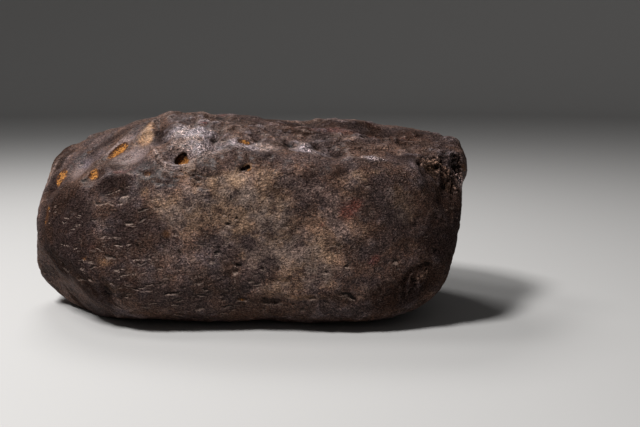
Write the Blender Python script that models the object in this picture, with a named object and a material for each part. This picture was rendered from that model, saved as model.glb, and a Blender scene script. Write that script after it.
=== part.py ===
"""An iron meteorite: one worn, loaf-shaped mass of iron that lies on a small flat spot.

Metres, +Z up. The origin is on the surface that the stone lies on, under the middle of its
length. The long side runs along X, and the broad face that people look at is turned to -Y.
"""

import math
import random
from collections import namedtuple

import bmesh
import bpy
import numpy as np
from mathutils import Vector, noise
from mathutils.bvhtree import BVHTree

MM = 0.001

# The outline of the stone seen from the front, anticlockwise from the right end, as
# millimetres from the middle of its length and from the surface that it lies on. It is
# about 260 across and 118 high. The flat spot grinds off what is below zero.
OUTLINE = [
    (132, 62), (135, 84), (132, 97), (118, 105), (90, 109.5), (48, 114.5), (0, 117),
    (-42, 119), (-60, 117), (-80, 111), (-104, 104), (-118, 95), (-125, 81), (-129, 66),
    (-133, 46), (-134, 30), (-129, 15), (-118, 4), (-95, -2), (-55, -3), (0, -3),
    (60, -2), (92, 2), (110, 12), (123, 31),
]
MIDDLE_HEIGHT = 57 * MM

# How far the two broad faces stand out from the outline, and how square the edge is that
# they turn on: 2 is an ellipse, and a larger number is a flatter face with a tighter edge.
FRONT_REACH = 74 * MM
BACK_REACH = 76 * MM
FRONT_SQUARENESS = {"right": 4.2, "top": 3.4, "left": 2.7, "bottom": 3.0}
BACK_SQUARENESS = {"right": 2.8, "top": 2.6, "left": 2.4, "bottom": 2.8}

# The stone leans back by this share of the height.
LEAN = 0.10

# A worn face: the stone is ground down to a plane that stands this far from its middle,
# towards a compass direction (0 is the front, 90 the right) and a height in degrees. Its
# edge is rounded over about the last number, in millimetres.
Facet = namedtuple("Facet", "name compass tilt reach edge")
FACETS = [
    Facet("lower left corner", -45, -33, 104, 1.6),
    Facet("upper left shoulder", -43, 59, 77, 1.6),
    Facet("bench", 23, 74, 59, 2.5),
    Facet("right end", 78, -8, 127, 2.0),
    Facet("broken corner", 50, 27, 115, 0.6),
    Facet("back right", 138, 10, 101, 3.0),
    Facet("back left", -142, -14, 99, 2.5),
    Facet("back slope", 186, 46, 79, 3.0),
    Facet("lower back", 176, -48, 77, 3.0),
]

# A hollow: seen square from one side it is centred at (across, up), in millimetres in that
# view, with half its length and width, its depth, the turn of its length and how sharp its
# rim is, from 1, crisp, to 2, soft.
Hollow = namedtuple("Hollow", "side across up long wide depth turn rim")
HOLLOWS = [
    # The scooped upper left shoulder: the nose, the slanting groove, and the deep scoop that
    # ends in a sharp arris below the high point.
    Hollow("front", -98, 88, 20, 11, 3.4, 75, 1.2),
    Hollow("front", -112, 76, 12, 8, 2.2, 80, 1.2),
    Hollow("front", -76, 98, 14, 6, 3.2, 46, 1.0),
    Hollow("front", -62, 100, 22, 12, 4.6, 72, 0.9),
    Hollow("front", -84, 86, 8, 6, 2.4, 30, 1.2),
    Hollow("top", -92, 2, 22, 12, 2.2, 20, 1.4),
    # A dark shallow dish under them.
    Hollow("front", -72, 80, 16, 9, 2.0, 8, 1.3),
    # The soft valley beside the arris, then two deep pits, the first with a dished approach.
    Hollow("front", -46, 107, 14, 6, 1.6, 80, 1.4),
    Hollow("front", -36, 96, 13, 9, 2.6, 40, 1.2),
    Hollow("front", -34, 97, 5.5, 3.6, 4.6, 50, 0.9),
    Hollow("front", 1, 92, 4.2, 2.8, 3.2, 20, 1.0),
    # Dips across the front shoulder, which leave round lumps between them.
    Hollow("front", -15, 105, 12, 7, 2.4, 75, 1.4),
    Hollow("front", 26, 103, 12, 6, 2.2, 100, 1.4),
    Hollow("front", 48, 100, 18, 9, 3.6, 120, 1.2),
    Hollow("front", 74, 98, 13, 8, 2.0, 160, 1.4),
    # Deep sockets in the broken corner, and the spalled scar below it.
    Hollow("front", 101, 89, 7, 5, 3.4, 80, 1.0),
    Hollow("front", 113, 93, 6, 4, 3.0, 60, 1.0),
    Hollow("front", 112, 80, 7, 5, 2.4, 40, 1.0),
    Hollow("front", 104, 25, 14, 7, 2.8, 60, 0.8),
    # Low dishes near the foot, and the valley beside the lower left corner.
    Hollow("front", 16, 20, 12, 6, 1.8, 0, 1.4),
    Hollow("front", 55, 21, 9, 6, 1.8, -20, 1.4),
    Hollow("front", -76, 22, 15, 6, 2.2, -70, 1.2),
    # Broad unevenness of the front face.
    Hollow("front", 45, 62, 40, 26, 1.6, 25, 2.0),
    Hollow("front", -40, 52, 30, 22, 1.4, -20, 2.0),
    Hollow("front", 82, 48, 26, 18, 1.4, 70, 2.0),
    # The bench behind the front shoulder.
    Hollow("top", -8, -16, 22, 14, 2.6, 10, 1.3),
    Hollow("top", 34, 2, 20, 16, 3.0, -25, 1.2),
    Hollow("top", 76, -2, 20, 16, 3.2, 15, 1.2),
    Hollow("top", -48, 8, 18, 14, 2.6, 20, 1.3),
]

# Shallow thumbprints over the sides that the front view doesn't show: how far each reaches
# from its middle, its width as a share of that, its depth, and the gap between middles.
THUMBPRINTS = 40
THUMBPRINT_REACH = (14, 30)
THUMBPRINT_NARROWNESS = (0.5, 0.95)
THUMBPRINT_DEPTH = (2.0, 4.2)
THUMBPRINT_SPACING = 17
THUMBPRINT_RIM = 1.1
SPREAD_TO_ENDS = 1.6
BEHIND_FRONT = Vector((112, 12))
STEEPEST_UNDERSIDE = -0.75
SEED = 1907

# Uneven growth of the surface: wavelength and height in millimetres.
SWELLS = [(62, 3.0), (30, 1.3), (13, 0.4)]

# The lumps of the broken corner: its middle and reach, then their wavelength and height.
BROKEN_CORNER = np.array((113, -42, 87))
BROKEN_REACH = 20
BROKEN_LUMPS = (6, 3.0)

# The stone starts as a box of squares about this wide, in millimetres, and ends with about
# this many triangles.
BOX = Vector((258, 148, 114))
CELL = 3.0
TRIANGLES = 9400


def smooth_loop(points, steps=12):
    """Points along a closed Catmull-Rom curve through the given ones."""
    found = []
    count = len(points)
    for i in range(count):
        before, start, end, after = (Vector(points[(i + k) % count]) for k in (-1, 0, 1, 2))
        for step in range(steps):
            t = step / steps
            found.append(0.5 * (2 * start + (end - before) * t
                                + (2 * before - 5 * start + 4 * end - after) * t**2
                                + (3 * start - before - 3 * end + after) * t**3))
    return found


def outline_reach(angles):
    """Distance from the middle to the outline at each angle, anticlockwise from +X."""
    curve = [(x * MM, z * MM - MIDDLE_HEIGHT) for x, z in smooth_loop(OUTLINE)]
    polar = sorted((math.atan2(z, x), math.hypot(x, z)) for x, z in curve)
    return np.interp(angles, [a for a, _ in polar], [r for _, r in polar], period=2 * math.pi)


def squareness(angles, by_side):
    """The squareness of the edge at each angle, blended between the four sides."""
    across, up = np.cos(angles), np.sin(angles)
    shares = {"right": across, "top": up, "left": -across, "bottom": -up}
    return sum(by_side[side] * np.clip(share, 0, None) ** 2 for side, share in shares.items())


def loaf(directions):
    """Where the points of a unit ball come to lie on the plain loaf."""
    x, y, z = directions.T
    ring = np.hypot(x, z)
    angles = np.arctan2(z, x)
    in_front = y < 0
    power = np.where(in_front, squareness(angles, FRONT_SQUARENESS), squareness(angles, BACK_SQUARENESS))
    grown = (ring**power + np.abs(y) ** power) ** (-1 / power)
    radius = outline_reach(angles) * ring * grown
    height = radius * np.sin(angles)
    depth = np.where(in_front, FRONT_REACH, BACK_REACH) * y * grown + LEAN * height
    return np.column_stack([radius * np.cos(angles), depth, height + MIDDLE_HEIGHT])


def grind_facets(points):
    """Grinds each facet flat, with a soft edge where it runs out."""
    for facet in FACETS:
        edge = facet.edge * MM
        compass, tilt = math.radians(facet.compass), math.radians(facet.tilt)
        flat = math.cos(tilt)
        out = np.array([math.sin(compass) * flat, -math.cos(compass) * flat, math.sin(tilt)])
        proud = (points - (0, 0, MIDDLE_HEIGHT)) @ out - facet.reach * MM
        cut = edge * np.logaddexp(0, proud / edge)
        points = points - np.outer(cut, out)
    return points


def swell(points, wavelength, height):
    """Height of a smooth uneven swell at each point."""
    return np.array([noise.noise(Vector(p) / (wavelength * MM)) for p in points]) * height * MM


class Surface:
    """The stone as it stands, for finding places on it."""

    VIEWS = {
        "front": (Vector((1, 0, 0)), Vector((0, 0, 1)), Vector((0, -1, 0))),
        "back": (Vector((1, 0, 0)), Vector((0, 0, 1)), Vector((0, 1, 0))),
        "top": (Vector((1, 0, 0)), Vector((0, 1, 0)), Vector((0, 0, 1))),
    }

    def __init__(self, bm):
        self.tree = BVHTree.FromBMesh(bm)

    def seen(self, side, across, up):
        """The point and normal that a side view shows at (across, up)."""
        along, rise, out = self.VIEWS[side]
        eye = along * across * MM + rise * up * MM + out
        point, normal, _, _ = self.tree.ray_cast(eye, -out)
        return point, (normal + out * 0.5).normalized(), along

    def towards(self, direction):
        """The point and normal that a line from the middle meets."""
        middle = Vector((0, 0, MIDDLE_HEIGHT))
        point, normal, _, _ = self.tree.ray_cast(middle, direction)
        return point, normal if normal.dot(direction) > 0 else -normal


def pressed(points, centre, out, along, long, wide, depth, turn=0, rim=1.5):
    """How deep a hollow reaches at each point, and the way it was pressed in."""
    along = (along - out * along.dot(out)).normalized()
    across = out.cross(along)
    turn = math.radians(turn)
    u_axis = along * math.cos(turn) + across * math.sin(turn)
    v_axis = out.cross(u_axis)
    local = points - np.array(centre)
    u, v, w = (local @ np.array(axis) for axis in (u_axis, v_axis, out))
    share = (u / (long * MM)) ** 2 + (v / (wide * MM)) ** 2 + (w / (max(long, wide) * MM)) ** 2
    return depth * MM * np.clip(1 - share, 0, 1) ** rim


def thumbprint_places(surface):
    """Scattered places for thumbprints, none of them on the face that the front view shows."""
    dice = random.Random(SEED)
    places = []
    while len(places) < THUMBPRINTS:
        direction = Vector([dice.gauss(0, 1) for _ in range(3)])
        direction.x *= SPREAD_TO_ENDS
        point, normal = surface.towards(direction.normalized())
        hidden = point.y > BEHIND_FRONT.y * MM or (abs(point.x) > BEHIND_FRONT.x * MM and point.y > -30 * MM)
        clear = all((point - other).length > THUMBPRINT_SPACING * MM for other, _ in places)
        if hidden and clear and normal.z > STEEPEST_UNDERSIDE:
            places.append((point, normal))
    return places


def thumbprints(surface, points):
    """How deep the thumbprints reach at each point. Where two overlap they meet in a ridge."""
    places = thumbprint_places(surface)
    dice = random.Random(SEED + 1)
    depths = np.zeros(len(points))
    for place, normal in places:
        along = Vector((1, 0, 0)) if abs(normal.x) < 0.8 else Vector((0, 1, 0))
        long = dice.uniform(*THUMBPRINT_REACH)
        wide = long * dice.uniform(*THUMBPRINT_NARROWNESS)
        press = pressed(points, place, normal, along, long, wide, dice.uniform(*THUMBPRINT_DEPTH),
                        dice.uniform(0, 180), THUMBPRINT_RIM)
        depths = np.maximum(depths, press)
    return depths


def blank():
    """A box of small squares, as long, deep and high as the stone, around the middle."""
    bm = bmesh.new()
    bmesh.ops.create_cube(bm, size=2)
    bmesh.ops.scale(bm, vec=BOX * MM / 2, verts=bm.verts)
    for axis, side in enumerate(BOX):
        along = [e for e in bm.edges if abs(e.verts[0].co[axis] - e.verts[1].co[axis]) > side * MM / 2]
        bmesh.ops.subdivide_edges(bm, edges=along, cuts=round(side / CELL) - 1, use_grid_fill=True)
    bmesh.ops.recalc_face_normals(bm, faces=bm.faces)
    return bm


def place(bm, points):
    for vert, point in zip(bm.verts, points):
        vert.co = point
    bm.normal_update()


def points_of(bm):
    return np.array([v.co for v in bm.verts])


def normals_of(bm):
    return np.array([v.normal for v in bm.verts])


def raise_by(bm, heights):
    """Moves each point outwards by its own height."""
    place(bm, points_of(bm) + normals_of(bm) * heights[:, None])


def press_hollows(bm):
    surface = Surface(bm)
    points = points_of(bm)
    for hollow in HOLLOWS:
        middle, out, along = surface.seen(hollow.side, hollow.across, hollow.up)
        press = pressed(points, middle, out, along, *hollow[3:])
        points = points - np.outer(press, out)
    place(bm, points)


def break_corner(bm):
    """Makes the broken corner lumpy, less and less with the distance from its middle."""
    points = points_of(bm)
    away = np.linalg.norm(points - BROKEN_CORNER * MM, axis=1) / (BROKEN_REACH * MM)
    raise_by(bm, swell(points, *BROKEN_LUMPS) * np.clip(1.4 * (1 - away), 0, 1))


def shaped_stone():
    """The whole form in small squares, before it is thinned out."""
    bm = blank()
    place(bm, grind_facets(loaf(np.array([v.co.normalized() for v in bm.verts]))))
    points = points_of(bm)
    raise_by(bm, sum(swell(points, *wave) for wave in SWELLS))
    raise_by(bm, -thumbprints(Surface(bm), points_of(bm)))
    press_hollows(bm)
    break_corner(bm)
    return bm


def centre(bm):
    """Moves the stone sideways until its box has its middle over the origin."""
    for axis in (0, 1):
        reach = [v.co[axis] for v in bm.verts]
        shift = Vector()
        shift[axis] = -(min(reach) + max(reach)) / 2
        bmesh.ops.translate(bm, vec=shift, verts=bm.verts)


def thinned(bm):
    """The form with few triangles where it is plain and many where it bends."""
    mesh = bpy.data.meshes.new("dense")
    bm.to_mesh(mesh)
    count = 2 * len(bm.faces)
    bm.free()
    dense = bpy.data.objects.new("dense", mesh)
    bpy.context.scene.collection.objects.link(dense)
    thin = dense.modifiers.new("thin", "DECIMATE")
    thin.ratio = TRIANGLES / count
    bpy.context.view_layer.update()
    graph = bpy.context.evaluated_depsgraph_get()
    made = bmesh.new()
    made.from_mesh(dense.evaluated_get(graph).to_mesh())
    bpy.data.objects.remove(dense)
    return made


def grind_foot(bm):
    """Cuts the underside off flat where the stone lies."""
    whole = bm.verts[:] + bm.edges[:] + bm.faces[:]
    bmesh.ops.bisect_plane(bm, geom=whole, plane_co=(0, 0, 0), plane_no=(0, 0, -1), clear_outer=True)
    bmesh.ops.edgeloop_fill(bm, edges=[e for e in bm.edges if e.is_boundary])
    bmesh.ops.recalc_face_normals(bm, faces=bm.faces)


def iron():
    material = bpy.data.materials.new("weathered_iron")
    material.use_nodes = True
    shader = material.node_tree.nodes["Principled BSDF"]
    shader.inputs["Base Color"].default_value = (0.075, 0.055, 0.042, 1)
    shader.inputs["Roughness"].default_value = 0.5
    shader.inputs["Metallic"].default_value = 0.35
    return material


def main():
    for obj in list(bpy.data.objects):
        bpy.data.objects.remove(obj)
    bm = thinned(shaped_stone())
    grind_foot(bm)
    centre(bm)
    mesh = bpy.data.meshes.new("iron_meteorite")
    bm.to_mesh(mesh)
    bm.free()
    mesh.shade_smooth()
    mesh.materials.append(iron())
    bpy.context.scene.collection.objects.link(bpy.data.objects.new("iron_meteorite", mesh))


main()
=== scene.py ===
"""The look of an iron meteorite: one worn, dark mass of iron with scooped and pitted sides.

The stone is shaped from the same values as its solid, in much finer squares, and then gets the
relief that only shows close up: crisp lips and grooves, pits, dashes, the broken corner's crystals.
Metres, +Z up, with the broad face turned to -Y.
"""

import math
import random
from collections import namedtuple

import bmesh
import bpy
import numpy as np
from mathutils import Euler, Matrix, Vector, noise
from mathutils.bvhtree import BVHTree


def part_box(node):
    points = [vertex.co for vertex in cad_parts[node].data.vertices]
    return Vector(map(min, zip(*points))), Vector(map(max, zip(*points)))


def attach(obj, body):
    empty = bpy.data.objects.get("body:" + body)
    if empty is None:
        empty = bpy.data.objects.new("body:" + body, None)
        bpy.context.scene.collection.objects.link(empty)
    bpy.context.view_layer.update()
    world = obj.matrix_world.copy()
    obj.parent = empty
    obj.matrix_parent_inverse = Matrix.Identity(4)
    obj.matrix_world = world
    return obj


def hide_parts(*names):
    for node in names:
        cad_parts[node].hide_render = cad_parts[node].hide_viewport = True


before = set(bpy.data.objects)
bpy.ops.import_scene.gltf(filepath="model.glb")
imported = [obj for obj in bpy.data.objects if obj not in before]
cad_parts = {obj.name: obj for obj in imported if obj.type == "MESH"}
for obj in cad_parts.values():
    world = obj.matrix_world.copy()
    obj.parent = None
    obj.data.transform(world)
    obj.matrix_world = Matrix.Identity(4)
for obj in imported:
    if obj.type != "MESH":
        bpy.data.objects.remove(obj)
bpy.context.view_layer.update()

MM = 0.001

ALONG = Vector((1, 0, 0))
ACROSS = Vector((0, 1, 0))
UP = Vector((0, 0, 1))
FRONT = Vector((0, -1, 0))

# The camera, where the photograph was taken from. Pixels are those of its 640 x 427 frame.
EYE = Vector((0.0434, -0.5451, 0.1473))
TILT_DOWN = math.radians(9.5)
LENS = 50
SENSOR = 36
FRAME_WIDTH = 640
FRAME_HEIGHT = 427
NEAREST_SEEN = 0.01
FURTHEST_SEEN = 50

# The pixel at the middle of the stone's picture.
MIDDLE_PIXEL = Vector((250, 215))

# The outline of the stone seen from the front, anticlockwise from the right end, as
# millimetres from the middle of its length and from the surface that it lies on.
OUTLINE = [
    (132, 62), (135, 84), (132, 97), (118, 105), (90, 109.5), (48, 114.5), (0, 117),
    (-42, 119), (-60, 117), (-80, 111), (-104, 104), (-118, 95), (-125, 81), (-129, 66),
    (-133, 46), (-134, 30), (-129, 15), (-118, 4), (-95, -2), (-55, -3), (0, -3),
    (60, -2), (92, 2), (110, 12), (123, 31),
]
MIDDLE_HEIGHT = 57 * MM

# How far the two broad faces stand out from the outline, and how square the edge is that
# they turn on: 2 is an ellipse, and a larger number is a flatter face with a tighter edge.
FRONT_REACH = 74 * MM
BACK_REACH = 76 * MM
FRONT_SQUARENESS = {"right": 4.2, "top": 3.4, "left": 2.7, "bottom": 3.0}
BACK_SQUARENESS = {"right": 2.8, "top": 2.6, "left": 2.4, "bottom": 2.8}

# The stone leans back by this share of the height.
LEAN = 0.10

# A worn face: the stone is ground down to a plane that stands this far from its middle,
# towards a compass direction (0 is the front, 90 the right) and a height in degrees. Its
# edge is rounded over about the last number, in millimetres.
Facet = namedtuple("Facet", "name compass tilt reach edge")
FACETS = [
    Facet("lower left corner", -45, -33, 104, 1.6),
    Facet("upper left shoulder", -43, 59, 77, 1.6),
    Facet("bench", 23, 74, 59, 2.5),
    Facet("right end", 78, -8, 127, 2.0),
    Facet("broken corner", 50, 27, 115, 0.6),
    Facet("back right", 138, 10, 101, 3.0),
    Facet("back left", -142, -14, 99, 2.5),
    Facet("back slope", 186, 46, 79, 3.0),
    Facet("lower back", 176, -48, 77, 3.0),
]

# A hollow: seen square from one side it is centred at (across, up), in millimetres in that
# view, with half its length and width, its depth, the turn of its length and how sharp its
# rim is, from 1, crisp, to 2, soft.
Hollow = namedtuple("Hollow", "side across up long wide depth turn rim")
# A hollow is pressed in along the normal, with this share of the view's own direction.
TOWARDS_VIEW = 0.5
HOLLOWS = [
    # The scooped upper left shoulder: the nose, the slanting groove, and the deep scoop that
    # ends in a sharp arris below the high point.
    Hollow("front", -98, 88, 20, 11, 3.4, 75, 1.2),
    Hollow("front", -112, 76, 12, 8, 2.2, 80, 1.2),
    Hollow("front", -76, 98, 14, 6, 3.2, 46, 1.0),
    Hollow("front", -62, 100, 22, 12, 4.6, 72, 0.9),
    Hollow("front", -84, 86, 8, 6, 2.4, 30, 1.2),
    Hollow("top", -92, 2, 22, 12, 2.2, 20, 1.4),
    # A dark shallow dish under them.
    Hollow("front", -72, 80, 16, 9, 2.0, 8, 1.3),
    # The soft valley beside the arris, then two deep pits, the first with a dished approach.
    Hollow("front", -46, 107, 14, 6, 1.6, 80, 1.4),
    Hollow("front", -36, 96, 13, 9, 2.6, 40, 1.2),
    Hollow("front", -34, 97, 5.5, 3.6, 4.6, 50, 0.9),
    Hollow("front", 1, 92, 4.2, 2.8, 3.2, 20, 1.0),
    # Dips across the front shoulder, which leave round lumps between them.
    Hollow("front", -15, 105, 12, 7, 2.4, 75, 1.4),
    Hollow("front", 26, 103, 12, 6, 2.2, 100, 1.4),
    Hollow("front", 48, 100, 18, 9, 3.6, 120, 1.2),
    Hollow("front", 74, 98, 13, 8, 2.0, 160, 1.4),
    # Deep sockets in the broken corner, and the spalled scar below it.
    Hollow("front", 101, 89, 7, 5, 3.4, 80, 1.0),
    Hollow("front", 113, 93, 6, 4, 3.0, 60, 1.0),
    Hollow("front", 112, 80, 7, 5, 2.4, 40, 1.0),
    Hollow("front", 104, 25, 14, 7, 2.8, 60, 0.8),
    # Low dishes near the foot, and the valley beside the lower left corner.
    Hollow("front", 16, 20, 12, 6, 1.8, 0, 1.4),
    Hollow("front", 55, 21, 9, 6, 1.8, -20, 1.4),
    Hollow("front", -76, 22, 15, 6, 2.2, -70, 1.2),
    # Broad unevenness of the front face.
    Hollow("front", 45, 62, 40, 26, 1.6, 25, 2.0),
    Hollow("front", -40, 52, 30, 22, 1.4, -20, 2.0),
    Hollow("front", 82, 48, 26, 18, 1.4, 70, 2.0),
    # The bench behind the front shoulder.
    Hollow("top", -8, -16, 22, 14, 2.6, 10, 1.3),
    Hollow("top", 34, 2, 20, 16, 3.0, -25, 1.2),
    Hollow("top", 76, -2, 20, 16, 3.2, 15, 1.2),
    Hollow("top", -48, 8, 18, 14, 2.6, 20, 1.3),
]

# Shallow thumbprints over the sides that the front view doesn't show: how many, how far each
# reaches from its middle, its width as a share of that, its depth, the gap between middles,
# how sharp the rim is, and how much thicker they lie towards the ends. None lies where the
# surface looks further down than the last number, from 0, upright, to -1.
THUMBPRINTS = 40
THUMBPRINT_REACH = (14, 30)
THUMBPRINT_NARROWNESS = (0.5, 0.95)
THUMBPRINT_DEPTH = (2.0, 4.2)
THUMBPRINT_SPACING = 17
THUMBPRINT_RIM = 1.1
SPREAD_TO_ENDS = 1.6
STEEPEST_UNDERSIDE = -0.75
SEED = 1907

# What the front view doesn't show, in millimetres: everything further back than y, and past x
# at either end, what is further back than the last number.
BEHIND_FRONT = Vector((112, 12))
AROUND_END = -30

# Where the surface faces an end more than this, shapes on it lie across the stone.
END_FACING = 0.8

# Uneven growth of the surface: wavelength and height in millimetres.
SWELLS = [(62, 3.0), (30, 1.3), (13, 0.4)]

# The lumps of the broken corner: its middle and reach, then their wavelength and height. They
# are at their full height where the strength, times the share of the reach left, passes 1.
BROKEN_CORNER = np.array((113, -42, 87))
BROKEN_REACH = 20
BROKEN_LUMPS = (6, 3.0)
BROKEN_STRENGTH = 1.4

# The stone starts as a box of squares: its size and theirs, in millimetres. Those that face the
# camera by more than the first share are parted twice into smaller ones, and the rest once,
# except under the stone, where they face down by more than the second.
BOX = Vector((258, 148, 114))
CELL = 3.5
SHOWN_FACING = 0.12
UNDER_FACING = -0.55

# Marks pressed into the iron: the pixel x and y of the photograph, half the length and width
# and the depth in millimetres, the turn of the length, and how sharp the rim is, as with the
# hollows. A mark with a negative depth is a lump that stands proud.
MARKS = [
    # The nose scoop and the hollows of its two rusty pits.
    (81, 170, 8.5, 5, 0.8, 80, 1.3), (60.7, 176.5, 5.6, 3.4, 1.1, 78, 0.8),
    (93, 173.5, 3.8, 2, 1.2, 75, 0.7), (89.8, 150.6, 1.8, 1.2, 0.6, 30, 0.8),
    # The groove, rusty along its bottom, and the smooth scoop beyond it.
    (118.5, 151.5, 7, 2.6, 1.1, 45, 0.9), (137, 157, 8, 6, 0.9, 10, 1.4),
    # The first deep pit and its approach, then the second and its cell.
    (181, 159, 4.4, 3, 1, 48, 0.6), (176, 150, 5, 3.4, 0.8, 60, 1.2), (246, 168, 3, 2.2, 0.4, 20, 0.6),
    (242.5, 169.5, 1.3, 1, 0.6, 20, 0.6),
    # The dark dish under the scoops.
    (116, 185, 12, 8, 1.4, 10, 1.2),
    # Dips of the top edge, and a crest beside them.
    (217, 114, 9, 26, 4.2, 0, 1.2), (312, 120, 11, 24, 2.4, 0, 1.2), (324, 118, 24, 34, 2, 0, 1.3),
    (384, 127, 12, 22, 2.4, 0, 1.2), (167, 116, 9, 16, -1.8, 0, 1.2), (83, 140, 12, 10, 1.5, 0, 1.2),
    # A rusty socket in the shoulder, and the dips between its lumps.
    (244.5, 140.6, 3.2, 1.6, 0.9, 0, 0.8), (218, 134, 9, 3.2, 1.5, 75, 1.1),
    (277, 136, 10, 4, 1, 150, 1.2), (289, 143, 8, 3.6, 1.2, 100, 1.1), (338, 150, 11, 6, 2, 110, 1),
    (322, 133, 10, 5, 1.2, 160, 1.2), (357, 150, 7, 4, 1.4, 60, 1.1), (395, 152, 10, 6, 1.2, 150, 1.2),
    # The broken corner's open sockets.
    (421, 163, 5, 2.6, 4.4, 82, 0.6), (445, 152, 3.4, 2.2, 3.4, 70, 0.6),
    (455, 170, 3.8, 2.2, 3.4, 80, 0.6), (434, 156, 2.8, 1.8, 2, 20, 0.7),
    (437, 182, 3, 1.8, 2.4, -40, 0.7), (447, 168, 2.4, 1.6, 2, 30, 0.7),
    (429, 150, 3.4, 1.6, 1.8, -10, 0.7),
    # Two lumps at the end of the shoulder that catch the light.
    (373, 160, 8, 5.5, -2.2, 5, 1.4), (348.5, 160.5, 3, 2.4, -1.3, 0, 1),
    # The corner's outer edge, the lump inside the scar, two pits above that and one under the
    # corner.
    (451, 141, 8, 7, -2.6, 0, 1.2), (420, 281, 8, 5, -1.1, 62, 1), (435.7, 250.7, 2.1, 1.3, 1.2, 70, 0.7),
    (428, 265, 1.4, 1, 0.9, 0, 0.7), (452.7, 198, 1.8, 1.3, 0.9, 0, 0.7),
    # A notch of the outline under the nose.
    (48, 194, 6, 4, 1, 0, 1.2),
]

# Pits with a hole of painted shade and a painted highlight on the lower lip: the pixel x and y of the
# photograph, half the length and width and the depth in millimetres, and the turn of the length.
PITS = [
    (216.2, 252.5, 2, 1, 1.4, 20), (218.8, 247.3, 1.5, 0.9, 1, 20), (227.5, 223.8, 1.9, 1.1, 1.2, 10),
    (236.6, 218, 1.2, 0.8, 0.8, 0), (238.4, 265.2, 2.2, 0.9, 1.2, -10), (262.5, 268, 1.4, 0.8, 0.8, 0),
    (346.4, 265.4, 1.5, 0.9, 1, 20), (326, 272, 1.8, 0.8, 0.8, 0), (147.5, 173, 2.2, 1.4, 0.8, 10),
    (124.5, 194, 3.2, 1.6, 0.6, 10), (224, 214, 1.4, 0.7, 0.7, 15), (259, 181, 1.3, 0.7, 0.7, 10),
    (205, 189, 1.5, 0.7, 0.7, 0), (268, 196, 1.2, 0.6, 0.6, 10), (322, 186, 1.4, 0.7, 0.7, 0),
    (368, 185, 1.6, 0.8, 0.7, 20), (190, 206, 1.6, 0.7, 0.6, 0),
    # The hole inside the first deep pit, and the cells of the second.
    (180, 159, 4.6, 1.9, 1.4, 46), (242.5, 169.5, 1.6, 1, 1.2, 30), (247.5, 166.8, 1.7, 0.9, 1.2, 20),
    # Dishes near the foot.
    (271.4, 300.5, 7.2, 1.8, 0.8, 2), (346, 294.2, 4.6, 1.5, 1.2, -10), (352, 297.6, 3, 1, 1, -16),
    (242, 299.2, 3.8, 1.1, 0.9, 5), (200, 307.6, 3.4, 1.2, 0.6, 5), (177.5, 314, 5, 1.2, 0.8, 12),
]

# A line on the iron through pixels of the photograph: half its width in millimetres, and how
# deep it is cut. A negative depth is a ridge that stands proud.
Stroke = namedtuple("Stroke", "path wide depth")
STROKES = [
    # The bright ridge above the groove, and the sharp upper edge of the groove.
    Stroke([(108, 157), (118, 146.5), (127, 137), (134, 131)], 3.2, -0.6),
    Stroke([(111, 154.5), (118.5, 147.5), (124, 144)], 0.9, 0.5),
    # The lip that runs from the arris below the first pit, and its brightest part.
    Stroke([(152, 147), (157, 154), (162.5, 162), (170, 166.5), (178, 167.5), (188, 166.5),
            (192.5, 162)], 2.2, -1.4),
    Stroke([(166, 164.5), (172, 167.5), (179, 168.5), (186, 167.5)], 1.6, -0.9),
    # Cracks beside the first pit and across the dark dish.
    Stroke([(184, 172.5), (190, 175), (195.5, 175)], 0.7, 0.9),
    Stroke([(196, 173.5), (203, 175.5), (209, 176)], 0.7, 0.9),
    Stroke([(170, 178), (177, 177.5)], 0.7, 0.7),
    Stroke([(191, 181), (198, 180)], 0.7, 0.7),
    # The scar's left and upper edge.
    Stroke([(404, 296), (404.5, 284), (408, 274), (416, 266.5), (430, 263)], 2.0, 1.2),
    # A ridge of the lower left corner.
    Stroke([(66, 269), (80, 279), (90, 288), (97, 298)], 3.2, -1.1),
    # Long lumps of the shoulder and the bench, which catch the light.
    Stroke([(236, 146), (250, 147), (262, 143)], 2.6, -0.7),
    Stroke([(296, 143), (305, 146), (314, 144)], 3.4, -1.2),
    Stroke([(337, 139), (350, 143), (362, 143)], 2.4, -1.0),
    Stroke([(395, 140), (415, 143), (436, 147)], 2.4, -0.9),
    Stroke([(193, 119), (204, 121), (212, 120)], 2.4, -1.0),
    Stroke([(226, 129), (233, 126), (241, 127)], 2.4, -0.9),
    Stroke([(246, 129), (254, 126), (262, 128)], 2.4, -0.8),
    Stroke([(296, 130), (306, 133), (318, 131)], 2.2, -0.8),
]

# A ledge along a line through pixels: the iron on the right of the line, going along it, drops
# by the depth over the slope and comes up again over the width, all in millimetres. The larger
# the fade, the faster it comes up.
LEDGE_FADE = 1.5
Ledge = namedtuple("Ledge", "path slope wide depth")
LEDGES = [
    # Right of the arris of the tan scoop wall, and on under it.
    Ledge([(153, 152), (152.6, 143), (152.7, 132), (154, 117)], 4.5, 15.0, 5.5),
    # Right of the lower left ridge.
    Ledge([(99, 306), (101.5, 294), (99, 282), (90, 268)], 4.0, 12.0, 2.0),
    # The broken corner, below and right of where the worn skin ends.
    Ledge([(452, 206), (438, 186), (427, 174), (418, 160), (424, 150)], 0.8, 14.0, 2.2),
]

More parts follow.
